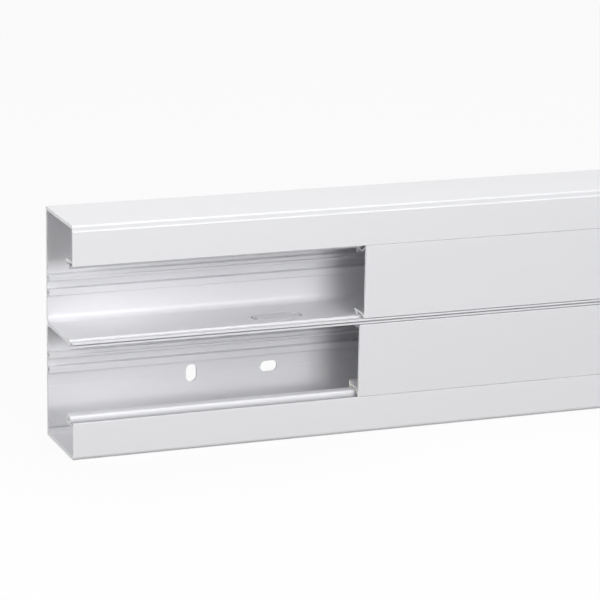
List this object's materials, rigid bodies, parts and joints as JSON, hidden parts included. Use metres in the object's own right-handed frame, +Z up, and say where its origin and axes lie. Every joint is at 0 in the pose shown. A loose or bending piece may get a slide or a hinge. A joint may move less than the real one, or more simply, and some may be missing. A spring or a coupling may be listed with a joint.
{
  "type": "cable trunking",
  "caption": "Two-compartment wall trunking of extruded white PVC with clip-on front covers that slide along, wall fixing slots and knock-outs in the partition.",
  "frame": {"origin": "middle of the foot: half way along the length and through the depth, on the underside of the bottom wall", "axes": "+X along the length, +Y from the room towards the wall, +Z up"},
  "size_m": [2, 0.055, 0.14],
  "materials": {
    "base_pvc": "smooth satin white PVC",
    "cover_pvc": "smooth satin white PVC"
  },
  "bodies": {
    "base": {"base_profile": "base_pvc"},
    "cover_upper": {"upper_cover": "cover_pvc"},
    "cover_lower": {"lower_cover": "cover_pvc"}
  },
  "joints": [
    {"name": "upper_cover_slide", "type": "slide", "parent": "base", "child": "cover_upper", "axis": [1, 0, 0], "range_m": [-0.181, 0]},
    {"name": "lower_cover_slide", "type": "slide", "parent": "base", "child": "cover_lower", "axis": [1, 0, 0], "range_m": [-0.178, 0.003]}
  ]
}
